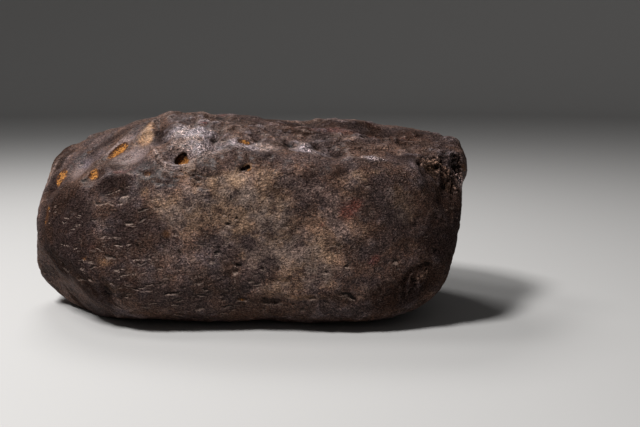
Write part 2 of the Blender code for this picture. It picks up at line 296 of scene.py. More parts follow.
# Dash-like pits that lie along the stone: the pixel x and y of the photograph, and half the
# length in millimetres.
DASHES = [
    (108, 192.5, 3.0), (104.3, 202.5, 2.4), (66.2, 217, 2.1), (79, 214.3, 1.2), (129, 222.3, 3.0),
    (106.3, 235.6, 3.2), (117, 236.3, 2.8), (118.4, 244, 3.0), (129, 243, 1.5), (84.2, 258, 2.4),
    (90.3, 260.5, 1.6), (94.5, 258.6, 1.5), (92.3, 266, 1.5), (137, 258.8, 3.0), (106.3, 256, 1.5),
    (119, 268.6, 3.8), (123.7, 274.3, 4.5), (149.2, 284.2, 3.5), (134.5, 289, 3.5), (150, 290.3, 1.8),
    (172, 293.2, 5.8), (205.4, 289, 1.8), (201.4, 295.3, 2.8), (125.8, 296.6, 1.8), (98.3, 300.8, 2.8),
    (153.2, 303.2, 3.5), (117, 306, 3.0), (180, 300.6, 2.8), (221.5, 316, 2.2), (174.6, 304.8, 2.5),
    (202.8, 244.3, 3.0), (194.7, 236.2, 2.2), (105.3, 173.2, 2.8), (119.3, 188, 3.1), (129.5, 185.5, 1.5),
    (120.6, 202.5, 2.2), (46, 262.5, 1.5), (44.7, 266.6, 1.5), (52, 272, 1.8), (50, 222, 1.2),
    (55.5, 205, 1.8), (73, 228, 2.0), (62, 243, 2.2), (98, 248, 2.5), (76, 247, 1.8),
    (143, 272, 2.5), (160, 268, 2.0), (112, 283, 2.5), (140, 311, 3.0), (232, 309, 3.0),
]
# Half the width of a dash in millimetres and how far it varies, its depth as a share of that
# width, and how sharp the rim of every pit is.
DASH_WIDTH = 0.58
DASH_SPREAD = (0.75, 1.2)
DASH_DEPTH = 1.0
DASH_RIM = 0.8
# The painted highlight on a pit's lower lip: how far down and how wide, as shares of its width.
LIP_DROP = 1.4
LIP_WIDTH = 0.6
# A pit's painted shade and highlight colour the skin fully up to this far past its rim and lip, in
# millimetres, and fade out at so many times as far. One that is less deep than the last number is paler.
PIT_MARGIN = 1.6
PIT_FADE = 2
FULL_PIT = 1.0
# A point with no pit near it counts as so many widths of a pit across from one.
FAR_ACROSS = 9.0

# Small pits strewn over every side: how many, the range of their half length, their width as
# a share of it, their depth as a share of their width, and the most that a pit is turned.
SMALL_PITS = 900
PIT_LENGTH = (0.8, 2.4)
PIT_NARROWNESS = (0.3, 0.6)
PIT_STEEPNESS = (0.3, 0.6)
PIT_TURN = 14

# Finer swells than those of the solid, wavelength and height in millimetres.
FINE_SWELLS = [(9, 0.9), (3.5, 0.4)]

# Each round of smoothing moves a point this share of the way to the middle of its neighbours.
SMOOTHING = 0.5
# Rounds that wear the hollows' rims down, before the crisp marks go in.
WEAR = 4
# Further rounds inside the satin scoops, where their share is above the edge.
SCOOP_WEAR = 10
SCOOP_EDGE = 0.15
# Rounds that leave only the surroundings, which the relief is measured from.
SURROUNDINGS = 12

# Lumps of the bench and the shoulder: wavelength and height in millimetres.
LUMPS = [(13, 1.8), (6, 1.6), (3.4, 0.7)]

# Crooked cracks and wrinkles, longer along the stone: wavelength and depth in millimetres.
CRACKS = [(11, 0.5), (5.5, 0.45)]
CRACK_WIDTH = 0.16
CRACK_STRETCH = np.array((0.6, 1, 1))
# They come and go over so many wavelengths, so sharply, by noise from another place.
CRACK_SPELLS = 3
CRACK_CONTRAST = 2
ELSEWHERE = 1

# Crystals of the broken corner: size and height in millimetres, then how steep they are and
# how wide the gaps are for their size. The scatter gives neighbours unlike tilts.
CRYSTALS = [(6.0, 1.5), (3.0, 0.8)]
CRYSTAL_TILT = 1.2
CRYSTAL_GAP = 0.12
CRYSTAL_SCATTER = 10

# Patches of colour or finish, by kind: the pixel x and y of the photograph, half the length
# and width in millimetres, the turn of the length and the strength.
PATCHES = {
    "rust": [
        (61, 178, 9, 5, 100, 1.2), (93.5, 175, 6, 3.6, 100, 1.1), (89.8, 150.8, 2.8, 1.8, 20, 0.6),
        (119, 151.4, 9, 3.6, 45, 1.2), (179, 164.5, 2.8, 1.5, 10, 1.4), (184.5, 162, 3.6, 2.6, 20, 1.5),
        (187.5, 161.5, 2, 1.8, 10, 1.2), (186, 164.8, 2.8, 1.2, 15, 1.2), (244.5, 141, 4.6, 3, 0, 1),
        (248.5, 170.5, 2.4, 1.8, 0, 0.6), (147.5, 173.5, 2.6, 1.8, 0, 0.5), (166, 234, 3, 2.6, 0, 0.5),
        (47, 215, 8, 3, 78, 0.42), (84, 258.5, 2.6, 1.2, 0, 0.5), (242, 300.5, 3.4, 1.2, 0, 0.5),
    ],
    "ochre": [
        (149, 133, 16, 4.2, 98, 1), (146, 137, 13, 7, 90, 0.8), (247.5, 166.5, 4.6, 3.2, 20, 0.8),
        (119, 151.4, 9, 4, 45, 0.3), (166, 234, 4, 3.6, 0, 0.6), (243, 256, 4.4, 4, 0, 0.45),
        (144.5, 192, 4, 5, 0, 0.5), (281, 245, 3, 3, 0, 0.35), (236, 180, 10, 8, 0, 0.8),
        (104, 262, 7, 4, 0, 0.5), (111, 288, 9, 6, 0, 0.6), (72, 214, 7, 5, 0, 0.5),
        (376, 172, 4, 4, 0, 0.45), (47, 215, 9, 4, 78, 0.5), (300, 298, 24, 3.4, 2, 0.4),
        (432, 167, 11, 6, -30, 0.7), (449, 185, 8, 6, 40, 0.7), (244.5, 142, 7, 5, 0, 0.5),
        (188, 170, 8, 5, 20, 0.35),
    ],
    # Dark patina, and painted shade where the iron is turned from the light: the right end, the lower
    # corners and the foot, the valley beside the arris and the shadowed side of the broken corner.
    "dark": [
        (116, 187, 16, 10, 0, 1), (52, 184, 10, 16, 0, 0.9), (56, 153, 14, 8, 50, 1),
        (62, 160, 14, 5, 60, 1.1), (83, 140, 12, 9, 0, 1.4), (112, 139, 26, 6, 33, 0.75),
        (108, 168, 13, 7, 15, 0.7), (85, 282, 32, 20, -35, 0.95), (60, 232, 30, 38, 0, 1.2),
        (118, 285, 22, 14, 0, 0.75), (58, 262, 16, 12, -50, 1), (74, 298, 14, 5, -35, 0.8),
        (120, 235, 30, 26, 0, 0.65), (160, 300, 40, 12, 0, 0.3), (276, 190, 9, 5, 40, 0.7),
        (308, 178, 8, 6, 0, 0.7), (338, 172, 9, 6, 30, 0.7), (222, 212, 9, 5, -20, 0.4),
        (290, 222, 10, 5, 20, 0.3), (262, 248, 12, 6, 0, 0.3), (196, 222, 10, 7, 0, 0.4),
        (455, 230, 46, 34, 90, 0.9), (410, 290, 34, 16, 15, 1), (400, 215, 30, 36, 0, 0.45),
        (337, 153, 7, 5, 60, 0.7), (412, 158, 17, 11, -15, 0.9), (405, 142, 38, 9, -8, 0.6),
        (159, 134, 16, 7, 92, 0.9), (440, 165, 22, 16, -30, 0.8), (260, 312, 90, 10, 0, 0.3),
        (345, 122, 80, 16, 0, 1), (240, 120, 50, 12, 0, 0.5), (230, 252, 10, 7, 0, 0.4),
        (300, 190, 9, 6, 60, 0.5), (330, 170, 12, 7, 0, 0.5), (310, 262, 10, 6, 0, 0.35),
        (305, 132, 26, 7, -6, 0.8), (345, 142, 20, 6, -6, 0.6), (205, 160, 9, 5, 30, 0.4),
        (165, 180, 8, 5, 0, 0.4),
    ],
    "red": [
        (351, 209, 13, 8, 38, 0.8), (374, 260, 6.4, 4, 32, 0.8), (322, 225, 2.6, 2.2, 0, 0.7),
        (330, 127, 90, 18, 0, 0.5), (202, 122, 5, 2.6, -10, 0.9), (372, 124, 14, 6, -6, 0.6),
        (415, 135, 18, 7, -12, 0.45), (97, 229, 18, 8, 5, 0.4), (50, 211, 3.4, 2.2, 60, 0.7),
        (310, 128, 14, 5, -5, 0.5), (135, 175, 8, 4, -20, 0.5), (437, 222, 9, 5, 0, 0.4),
        (215, 316, 6, 3, 0, 0.6), (90, 248, 9, 5, 0, 0.4), (62, 240, 20, 24, 0, 0.45),
        (120, 172, 10, 4, 0, 0.5),
    ],
    "satin": [
        (82, 170, 17, 10.5, 85, 1), (100, 155, 12, 7, 35, 0.4), (137, 157, 20, 14, 10, 1.15),
        (121, 144.5, 18, 4.6, 45, 1.1), (165, 160, 12, 8, -30, 0.5), (373, 158, 10, 7, 5, 0.7),
        (348.5, 158.5, 4, 3.4, 0, 0.7), (177, 167.5, 12, 3.2, 3, 1.1),
    ],
    "polish": [
        (191, 131, 18, 12, -4, 1.1), (196, 146, 22, 16, -4, 0.6), (177, 166.5, 12, 4.4, 5, 1.1),
        (100, 228, 16, 8, 5, 0.45), (204, 121, 8, 3, 0, 0.7), (157, 155, 7, 2.8, -55, 0.5),
        (252, 145, 18, 8, -8, 0.9), (311, 149, 16, 8, -8, 0.8), (373, 158.5, 9, 6.5, 5, 1.3),
        (362, 158, 6, 3, 0, 0.5), (348.5, 158.5, 2.8, 2.4, 0, 1.3), (190, 258, 36, 16, 0, 0.3),
    ],
    "dust": [
        (245, 205, 48, 24, 10, 0.95), (300, 240, 42, 26, 0, 1), (205, 185, 22, 12, 0, 0.85),
        (172, 200, 16, 14, 0, 0.75), (238, 180, 8, 6, 0, 1), (290, 285, 32, 8, 2, 0.5),
        (350, 185, 14, 10, 30, 0.6), (436, 164, 12, 6, -20, 1), (449, 184, 7, 6, 40, 1),
        (250, 125, 40, 5, -3, 0.5), (340, 137, 14, 5, -5, 0.5), (400, 205, 9, 16, 20, 0.6),
        (126, 200, 5, 3, 0, 0.8), (160, 205, 10, 8, 0, 0.5), (84, 284, 15, 4, -38, 0.9),
        (412, 284, 8, 2.6, 72, 0.6), (426, 273, 6, 3.4, 35, 0.6), (120, 280, 14, 8, 0, 0.5),
    ],
    "broken": [
        (440, 163, 15, 10, -20, 1), (449, 180, 10, 9, -50, 1), (457, 165, 12, 7, 90, 1),
        (413, 284, 7, 2.8, 72, 0.7), (425, 274, 6, 3.4, 35, 0.45),
    ],
    # Iron with small lumps, then iron with many dash-like pits.
    "lumpy": [
        (300, 133, 110, 26, 0, 1), (230, 130, 40, 20, 0, 0.8), (400, 140, 50, 22, 0, 1),
        (180, 118, 30, 8, 0, 0.5),
    ],
    "dashed": [
        (95, 235, 44, 42, 0, 1), (170, 290, 60, 18, 0, 1), (112, 185, 16, 12, 0, 0.8),
    ],
}
# How soft the fall-off of each kind of patch is towards its edge.
PATCH_SOFTNESS = {
    "rust": 1.1, "ochre": 1.6, "dark": 1.0, "red": 1.4, "satin": 1.5, "polish": 1.0, "dust": 0.8,
    "broken": 0.45, "lumpy": 0.6, "dashed": 0.6,
}

# Patches strewn over the sides that the photograph doesn't show, by kind: how many, the range
# of their half length in millimetres, and of their strength. The narrowness is the range of
# their width as a share of their length.
PATCH_NARROWNESS = (0.4, 0.9)
Strewn = namedtuple("Strewn", "count reach strength")
STREWN = {
    "rust": Strewn(16, (2.0, 7.0), (0.3, 0.9)),
    "ochre": Strewn(18, (4.0, 12.0), (0.3, 0.7)),
    "dark": Strewn(24, (14.0, 34.0), (0.4, 0.9)),
    "red": Strewn(16, (5.0, 14.0), (0.5, 1.0)),
    "satin": Strewn(14, (8.0, 22.0), (0.5, 1.0)),
    "polish": Strewn(22, (6.0, 18.0), (0.5, 1.0)),
    "dust": Strewn(26, (12.0, 30.0), (0.4, 0.75)),
    "lumpy": Strewn(14, (16.0, 34.0), (0.3, 0.8)),
    "dashed": Strewn(18, (16.0, 34.0), (0.5, 1.0)),
}


def smooth_loop(points, steps=12):
    """Points along a closed Catmull-Rom curve through the given ones."""
    found = []
    count = len(points)
    for i in range(count):
        before, start, end, after = (Vector(points[(i + k) % count]) for k in (-1, 0, 1, 2))
        for step in range(steps):
            t = step / steps
            found.append(0.5 * (2 * start + (end - before) * t
                                + (2 * before - 5 * start + 4 * end - after) * t**2
                                + (3 * start - before - 3 * end + after) * t**3))
    return found


def outline_reach(angles):
    """Distance from the middle to the outline at each angle, anticlockwise from +X."""
    curve = [(x * MM, z * MM - MIDDLE_HEIGHT) for x, z in smooth_loop(OUTLINE)]
    polar = sorted((math.atan2(z, x), math.hypot(x, z)) for x, z in curve)
    return np.interp(angles, [a for a, _ in polar], [r for _, r in polar], period=2 * math.pi)


def squareness(angles, by_side):
    """The squareness of the edge at each angle, blended between the four sides."""
    across, up = np.cos(angles), np.sin(angles)
    shares = {"right": across, "top": up, "left": -across, "bottom": -up}
    return sum(by_side[side] * np.clip(share, 0, None) ** 2 for side, share in shares.items())


def loaf(directions):
    """Where the points of a unit ball come to lie on the plain loaf."""
    x, y, z = directions.T
    ring = np.hypot(x, z)
    angles = np.arctan2(z, x)
    in_front = y < 0
    power = np.where(in_front, squareness(angles, FRONT_SQUARENESS), squareness(angles, BACK_SQUARENESS))
    grown = (ring**power + np.abs(y) ** power) ** (-1 / power)
    radius = outline_reach(angles) * ring * grown
    height = radius * np.sin(angles)
    depth = np.where(in_front, FRONT_REACH, BACK_REACH) * y * grown + LEAN * height
    return np.column_stack([radius * np.cos(angles), depth, height + MIDDLE_HEIGHT])


def grind_facets(points):
    """Grinds each facet flat, with a soft edge where it runs out."""
    for facet in FACETS:
        edge = facet.edge * MM
        compass, tilt = math.radians(facet.compass), math.radians(facet.tilt)
        flat = math.cos(tilt)
        out = np.array([math.sin(compass) * flat, -math.cos(compass) * flat, math.sin(tilt)])
        proud = (points - (0, 0, MIDDLE_HEIGHT)) @ out - facet.reach * MM
        cut = edge * np.logaddexp(0, proud / edge)
        points = points - np.outer(cut, out)
    return points


def swell(points, wavelength, height):
    """Height of a smooth uneven swell at each point."""
    return np.array([noise.noise(Vector(p) / (wavelength * MM)) for p in points]) * height * MM


def cracks(points, wavelength, depth):
    """Depth of crooked cracks that come and go."""
    line = np.abs(swell(points * CRACK_STRETCH, wavelength, 1) / MM)
    spells = swell(points + ELSEWHERE, CRACK_SPELLS * wavelength, 1) / MM
    kept = np.clip(0.5 + CRACK_CONTRAST * spells, 0, 1)
    return np.clip(1 - line / CRACK_WIDTH, 0, 1) * kept * depth * MM


def sight_line(x, y):
    """The way that the camera looks through the pixel (x, y) of the photograph."""
    across = (x - FRAME_WIDTH / 2) * SENSOR / FRAME_WIDTH / LENS
    up = (FRAME_HEIGHT / 2 - y) * SENSOR / FRAME_WIDTH / LENS
    return Euler((math.pi / 2 - TILT_DOWN, 0, 0)).to_matrix() @ Vector((across, up, -1))


class Surface:
    """The stone as it stands, for finding places on it."""

    VIEWS = {"front": (ALONG, UP, FRONT), "top": (ALONG, ACROSS, UP)}

    def __init__(self, bm):
        self.tree = BVHTree.FromBMesh(bm)

    def seen(self, side, across, up):
        """The point that a side view shows at (across, up), the normal there, turned a little
        towards the view, and the direction of a hollow's length."""
        along, rise, out = self.VIEWS[side]
        eye = along * across * MM + rise * up * MM + out
        point, normal, _, _ = self.tree.ray_cast(eye, -out)
        return point, (normal + out * TOWARDS_VIEW).normalized(), along

    def towards(self, direction):
        """The point and normal that a line from the middle meets."""
        middle = Vector((0, 0, MIDDLE_HEIGHT))
        point, normal, _, _ = self.tree.ray_cast(middle, direction)
        return point, normal if normal.dot(direction) > 0 else -normal

    def at_pixel(self, x, y):
        """The point and normal that the camera sees at a pixel of the photograph. Where it looks
        past the stone, the first point on the way to the middle of its picture."""
        pixel = Vector((x, y))
        point = None
        while point is None:
            point, normal, _, _ = self.tree.ray_cast(EYE, sight_line(*pixel).normalized())
            pixel += (MIDDLE_PIXEL - pixel).normalized()
        return point, normal


def any_direction(dice):
    """A random direction, each as likely as any other once it is normalized."""
    return Vector([dice.gauss(0, 1) for _ in range(3)])


def surface_axes(out, along, turn):
    """Two directions along the surface, square to each other and turned by so many degrees."""
    along = (along - out * along.dot(out)).normalized()
    across = out.cross(along)
    turn = math.radians(turn)
    u_axis = along * math.cos(turn) + across * math.sin(turn)
    return u_axis, out.cross(u_axis)


def ellipse_share(points, centre, out, along, long, wide, turn):
    """1 at the middle of an ellipse on the surface, falling to 0 at its edge and beyond."""
    local = points - np.array(centre)
    u, v, w = (local @ np.array(axis) for axis in (*surface_axes(out, along, turn), out))
    share = (u / (long * MM)) ** 2 + (v / (wide * MM)) ** 2 + (w / (max(long, wide) * MM)) ** 2
    return np.clip(1 - share, 0, 1)


def place_in(points, centre, out, along, turn):
    """Where each point lies along and across a shape on the surface, in millimetres."""
    local = (points - np.array(centre)) / MM
    u_axis, v_axis = surface_axes(out, along, turn)
    return local @ np.array(u_axis), local @ np.array(v_axis)


def pressed(points, centre, out, along, long, wide, depth, turn, rim):
    """How deep a hollow reaches at each point."""
    return depth * MM * ellipse_share(points, centre, out, along, long, wide, turn) ** rim


def line_share(points, path, wide):
    """1 on a line through the places, falling to 0 at half its width and beyond."""
    nearest = np.full(len(points), np.inf)
    for start, end in zip(path, path[1:]):
        run = end - start
        along = np.clip((points - start) @ run / (run @ run), 0, 1)
        nearest = np.minimum(nearest, np.linalg.norm(points - start - np.outer(along, run), axis=1))
    return np.clip(1 - (nearest / (wide * MM)) ** 2, 0, 1)


def ledge_share(points, path, normals, slope, wide):
    """1 just right of a line through the places, falling to 0 away from it and at its ends."""
    nearest = np.full(len(points), np.inf)
    share = np.zeros(len(points))
    lengths = [(end - start).length for start, end in zip(path, path[1:])]
    passed = 0.0
    for start, end, normal, length in zip(path, path[1:], normals, lengths):
        run = end - start
        local = points - np.array(start)
        along = np.clip(local @ np.array(run) / length ** 2, 0, 1)
        away = np.linalg.norm(local - np.outer(along, run), axis=1)
        right = local @ np.array(run.cross(normal).normalized()) / (slope * MM)
        taper = np.sin(math.pi * (passed + along * length) / sum(lengths))
        here = np.clip(right, 0, 1) * np.clip(1 - away / (wide * MM), 0, 1) ** LEDGE_FADE * taper
        closer = away < nearest
        share[closer] = here[closer]
        nearest[closer] = away[closer]
        passed += length
    return share


def thumbprint_places(surface):
    """Scattered places for thumbprints, none of them on the face that the front view shows."""
    dice = random.Random(SEED)
    places = []
    while len(places) < THUMBPRINTS:
        direction = any_direction(dice)
        direction.x *= SPREAD_TO_ENDS
        point, normal = surface.towards(direction.normalized())
        clear = all((point - other).length > THUMBPRINT_SPACING * MM for other, _ in places)
        if out_of_view(point) and clear and normal.z > STEEPEST_UNDERSIDE:
            places.append((point, normal))
    return places


def out_of_view(point):
    """True on the back, the top behind the shoulder, and both ends."""
    around_end = abs(point.x) > BEHIND_FRONT.x * MM and point.y > AROUND_END * MM
    return point.y > BEHIND_FRONT.y * MM or around_end


def thumbprints(surface, points):
    """How deep the thumbprints reach at each point. Where two overlap they meet in a ridge."""
    places = thumbprint_places(surface)
    dice = random.Random(SEED + 1)
    depths = np.zeros(len(points))
    for place, normal in places:
        along = lengthwise(normal)
        long = dice.uniform(*THUMBPRINT_REACH)
        wide = long * dice.uniform(*THUMBPRINT_NARROWNESS)
        press = pressed(points, place, normal, along, long, wide, dice.uniform(*THUMBPRINT_DEPTH),
                        dice.uniform(0, 180), THUMBPRINT_RIM)
        depths = np.maximum(depths, press)
    return depths


def lengthwise(normal):
    """A direction along the stone, or across it where the surface faces an end."""
    return ALONG if abs(normal.x) < END_FACING else ACROSS


def smoothed(bm, verts, rounds):
    """Moves each point part of the way to the middle of its neighbours, in so many rounds."""
    for _ in range(rounds):
        bmesh.ops.smooth_vert(bm, verts=verts, factor=SMOOTHING, use_axis_x=True, use_axis_y=True,
                              use_axis_z=True)


def blank():
    """A box of small squares, as long, deep and high as the stone, around the middle."""
    bm = bmesh.new()
    bmesh.ops.create_cube(bm, size=2)
    bmesh.ops.scale(bm, vec=BOX * MM / 2, verts=bm.verts)
    for axis, side in enumerate(BOX):
        along = [e for e in bm.edges if abs(e.verts[0].co[axis] - e.verts[1].co[axis]) > side * MM / 2]
        bmesh.ops.subdivide_edges(bm, edges=along, cuts=round(side / CELL) - 1, use_grid_fill=True)
    bmesh.ops.recalc_face_normals(bm, faces=bm.faces)
    return bm


def place(bm, points):
    """Moves the corners of the shape to new places."""
    for vert, point in zip(bm.verts, points):
        vert.co = point
    bm.normal_update()


def points_of(bm):
    return np.array([v.co for v in bm.verts])


def normals_of(bm):
    return np.array([v.normal for v in bm.verts])


def raise_by(bm, heights):
    """Moves each point outwards by its own height."""
    place(bm, points_of(bm) + normals_of(bm) * heights[:, None])


def rounded(bm):
    """Turns the box into the ground loaf."""
    place(bm, grind_facets(loaf(np.array([v.co.normalized() for v in bm.verts]))))


def parted(bm, wanted):
    """Parts each square of the box in four where the loaf has a face that is wanted there."""
    flat = points_of(bm)
    rounded(bm)
    edges = {e for f in bm.faces if wanted(f) for e in f.edges}
    place(bm, flat)
    bmesh.ops.subdivide_edges(bm, edges=list(edges), cuts=1, use_grid_fill=True)


def shown(face):
    """True for a face that the photograph shows."""
    middle = face.calc_center_median()
    return face.normal.dot((EYE - middle).normalized()) > SHOWN_FACING


def above_foot(face):
    return face.normal.z > UNDER_FACING


def press_hollows(bm):
    """Presses each hollow in where its side view shows the stone as it was before the first."""
    surface = Surface(bm)
    points = points_of(bm)
    for hollow in HOLLOWS:
        middle, out, along = surface.seen(hollow.side, hollow.across, hollow.up)
        press = pressed(points, middle, out, along, *hollow[3:])
        points = points - np.outer(press, out)
    place(bm, points)


def break_corner(bm):
    """Makes the broken corner lumpy, less and less with the distance from its middle."""
    points = points_of(bm)
    away = np.linalg.norm(points - BROKEN_CORNER * MM, axis=1) / (BROKEN_REACH * MM)
    raise_by(bm, swell(points, *BROKEN_LUMPS) * np.clip(BROKEN_STRENGTH * (1 - away), 0, 1))


def shaped_stone():
    """The whole form in small squares."""
    bm = blank()
    parted(bm, above_foot)
    parted(bm, shown)
    rounded(bm)
    points = points_of(bm)
    raise_by(bm, sum(swell(points, *wave) for wave in SWELLS))
    raise_by(bm, -thumbprints(Surface(bm), points_of(bm)))
    press_hollows(bm)
    break_corner(bm)
    smoothed(bm, bm.verts, WEAR)
    bm.normal_update()
    return bm


def set_on_solid(bm):
    """Moves the form sideways to where the solid is."""
    low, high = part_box("iron_meteorite")
    points = points_of(bm)
    middle = (points.min(0) + points.max(0)) / 2
    shift = (np.array(low) + np.array(high)) / 2 - middle
    bmesh.ops.translate(bm, vec=(shift[0], shift[1], 0), verts=bm.verts)


def patch_shares(surface, points):
    """For each kind of patch, how strong it is at each point, from 0 to 1."""
    dice = random.Random(SEED + 2)
    shares = {}
    for kind, patches in PATCHES.items():
        softness = PATCH_SOFTNESS[kind]
        share = np.zeros(len(points))
        for x, y, long, wide, turn, strength in patches:
            ellipse = ellipse_share(points, *surface.at_pixel(x, y), ALONG, long, wide, turn)
            share = np.maximum(share, strength * ellipse ** softness)
        strewn = STREWN.get(kind)
        left = strewn.count if strewn else 0
        while left:
            middle, out = surface.towards(any_direction(dice).normalized())
            if not out_of_view(middle):
                continue
            long = dice.uniform(*strewn.reach)
            wide = long * dice.uniform(*PATCH_NARROWNESS)
            turn = dice.uniform(0, 180)
            ellipse = ellipse_share(points, middle, out, lengthwise(out), long, wide, turn)
            share = np.maximum(share, dice.uniform(*strewn.strength) * ellipse ** softness)
            left -= 1
        shares[kind] = share
    return shares


def wear_scoops(bm):
    """Wears the iron down smoothly in the satin scoops."""
    satin = patch_shares(Surface(bm), points_of(bm))["satin"]
    smoothed(bm, [vert for vert, share in zip(bm.verts, satin) if share > SCOOP_EDGE], SCOOP_WEAR)
    bm.normal_update()


def carve_marks(surface, points):
    """How deep the marks, strokes and ledges of the photograph reach at each point."""
    depths = np.zeros(len(points))
    for x, y, *sizes in MARKS:
        depths += pressed(points, *surface.at_pixel(x, y), ALONG, *sizes)
    for stroke in STROKES:
        path = [np.array(surface.at_pixel(x, y)[0]) for x, y in stroke.path]
        depths += stroke.depth * MM * line_share(points, path, stroke.wide)
    for ledge in LEDGES:
        path, normals = zip(*(surface.at_pixel(x, y) for x, y in ledge.path))
        depths += ledge.depth * MM * ledge_share(points, path, normals, ledge.slope, ledge.wide)
    return depths


def all_pits(surface):
    """Every dash and pit: its place and normal, half its length and width, its depth and turn."""
    dice = random.Random(SEED + 3)
    pits = []
    for x, y, long in DASHES:
        wide = DASH_WIDTH * dice.uniform(*DASH_SPREAD)
        turn = dice.uniform(-PIT_TURN, PIT_TURN)
        pits.append((*surface.at_pixel(x, y), long, wide, DASH_DEPTH * wide, turn))
    for x, y, *sizes in PITS:
        pits.append((*surface.at_pixel(x, y), *sizes))
    for _ in range(SMALL_PITS):
        middle, out = surface.towards(any_direction(dice).normalized())
        long = dice.uniform(*PIT_LENGTH)
        wide = long * dice.uniform(*PIT_NARROWNESS)
        depth = wide * dice.uniform(*PIT_STEEPNESS)
        pits.append((middle, out, long, wide, depth, dice.uniform(-PIT_TURN, PIT_TURN)))
    return pits


def press_pits(surface, points):
    """How deep the dashes and pits reach at each point, and where it lies in its nearest pit:
    along and across it, 1 at the rim, and how much that pit shows, from 0 to 1."""
    depths = np.zeros(len(points))
    along, across, nearest = (np.full(len(points), far) for far in (0.0, FAR_ACROSS, np.inf))
    shown = np.zeros(len(points))
    for middle, out, long, wide, depth, turn in all_pits(surface):
        lip = wide * (LIP_DROP + LIP_WIDTH)
        reach = (long + lip + PIT_FADE * PIT_MARGIN) * MM
        near = np.flatnonzero(np.abs(points - np.array(middle)).max(1) < reach)
        press = pressed(points[near], middle, out, lengthwise(out), long, wide, depth, turn, DASH_RIM)
        depths[near] = np.maximum(depths[near], press)
        u, v = place_in(points[near], middle, out, lengthwise(out), turn)
        past = np.maximum(np.abs(u) - long, np.abs(v) - lip)
        away = np.hypot(u / long, v / wide)
        closer = away < nearest[near]
        kept = near[closer]
        nearest[kept] = away[closer]
        along[kept] = (u / long)[closer]
        across[kept] = (v / wide)[closer]
        shown[kept] = np.clip(PIT_FADE - past / PIT_MARGIN, 0, 1)[closer] * min(depth / FULL_PIT, 1)
    return depths, along, across, shown


def crystals(points, size, height):
    """Height of broken blocks at each point, each with its own level and tilt, and gaps between."""
    found = []
    for point in points:
        spot = Vector(point) / (size * MM)
        (near, next_near, _, _), (middle, *_) = noise.voronoi(spot)
        tilt = noise.cell_vector(middle * CRYSTAL_SCATTER) * 2 - Vector((1, 1, 1))
        gap = 1 - min((next_near - near) / CRYSTAL_GAP, 1)
        found.append(tilt.x + CRYSTAL_TILT * tilt.dot(spot - middle) - gap)
    return np.array(found) * height * MM


def relief(bm):
    """How far each point stands above its surroundings, in millimetres."""
    smooth = bm.copy()
    smoothed(smooth, smooth.verts, SURROUNDINGS)
    away = points_of(bm) - points_of(smooth)
    smooth.free()
    return (away * normals_of(bm)).sum(1) / MM


def grind_foot(bm):
    """Cuts the underside off flat where the stone lies, with a sharp edge round the flat."""
    whole = bm.verts[:] + bm.edges[:] + bm.faces[:]
    bmesh.ops.bisect_plane(bm, geom=whole, plane_co=(0, 0, 0), plane_no=(0, 0, -1), clear_outer=True)
    foot = bmesh.ops.edgeloop_fill(bm, edges=[e for e in bm.edges if e.is_boundary])["faces"]
    bmesh.ops.recalc_face_normals(bm, faces=bm.faces)
    for face in foot:
        for edge in face.edges:
            edge.smooth = False


def piece_of(bm, name, material):
    """Makes a smoothly shaded piece of the shape."""
    for face in bm.faces:
        face.smooth = True
    mesh = bpy.data.meshes.new(name)
    bm.to_mesh(mesh)
    bm.free()
    mesh.materials.append(material)
    piece = bpy.data.objects.new(name, mesh)
    bpy.context.scene.collection.objects.link(piece)
    return piece


def stone():
    """The stone with its relief, and with the shares of its patches and pits at each point."""
    bm = shaped_stone()
    set_on_solid(bm)
    wear_scoops(bm)
    surface = Surface(bm)
    points = points_of(bm)
    shares = patch_shares(surface, points)
    broken = shares["broken"]
    carved = carve_marks(surface, points)
    pits, along, across, shown = press_pits(surface, points)
    lumps = sum(swell(points, *wave) for wave in LUMPS) * shares["lumpy"]
    wrinkles = sum(cracks(points, *crack) for crack in CRACKS)
    uneven = (sum(swell(points, *wave) for wave in FINE_SWELLS) - wrinkles) * (1 - shares["satin"])
    raise_by(bm, uneven + lumps - carved)
    rough = np.flatnonzero(broken > 0)
    heights = -pits * (1 - broken)
    for size, height in CRYSTALS:
        heights[rough] += crystals(points[rough], size, height) * broken[rough]
    raise_by(bm, heights)
    shares["pit_along"] = along
    shares["pit_across"] = across
    shares["pit_shown"] = shown * (1 - broken)
    shares["relief"] = relief(bm)
    layers = {name: bm.verts.layers.float.new(name) for name in shares}
    for name, layer in layers.items():
        for vert, share in zip(bm.verts, shares[name]):
            vert[layer] = share
    grind_foot(bm)
    return piece_of(bm, "stone", weathered_iron())


def add(tree, kind, inputs=None, **settings):
    """Adds a node, with settings by name and inputs by name or number, and gives what it puts
    out first. An input is a plain value, or what another node puts out."""
    made = tree.nodes.new(kind)
    for name, value in settings.items():
        setattr(made, name, value)
    for name, value in (inputs or {}).items():
        if isinstance(value, Output):
            value.feed(made, name)
        else:
            made.inputs[name].default_value = value
    return Output(made.outputs[0])


class Output:
    """What a node puts out: a number, a place or a colour. Numbers can be reckoned with."""

    def __init__(self, socket):
        self.socket = socket
        self.tree = socket.id_data

    def other(self, name):
        """Something else that the same node puts out."""
        return Output(self.socket.node.outputs[name])

    def feed(self, node, name):
        self.tree.links.new(self.socket, node.inputs[name])

    def reckoned(self, operation, first, second=0.0):
        return add(self.tree, "ShaderNodeMath", {0: first, 1: second}, operation=operation)

    def __add__(self, other):
        return self.reckoned("ADD", self, other)

    def __sub__(self, other):
        return self.reckoned("SUBTRACT", self, other)

    def __mul__(self, other):
        return self.reckoned("MULTIPLY", self, other)

    def __truediv__(self, other):
        return self.reckoned("DIVIDE", self, other)

    def opposite(self):
        """1 where this is 0, and 0 where this is 1."""
        return self.reckoned("SUBTRACT", 1.0, self)

    def larger(self, other):
        return self.reckoned("MAXIMUM", self, other)


def tree_of(*values):
    """The tree of the first value that a node puts out."""
    return next(value.tree for value in values if isinstance(value, Output))


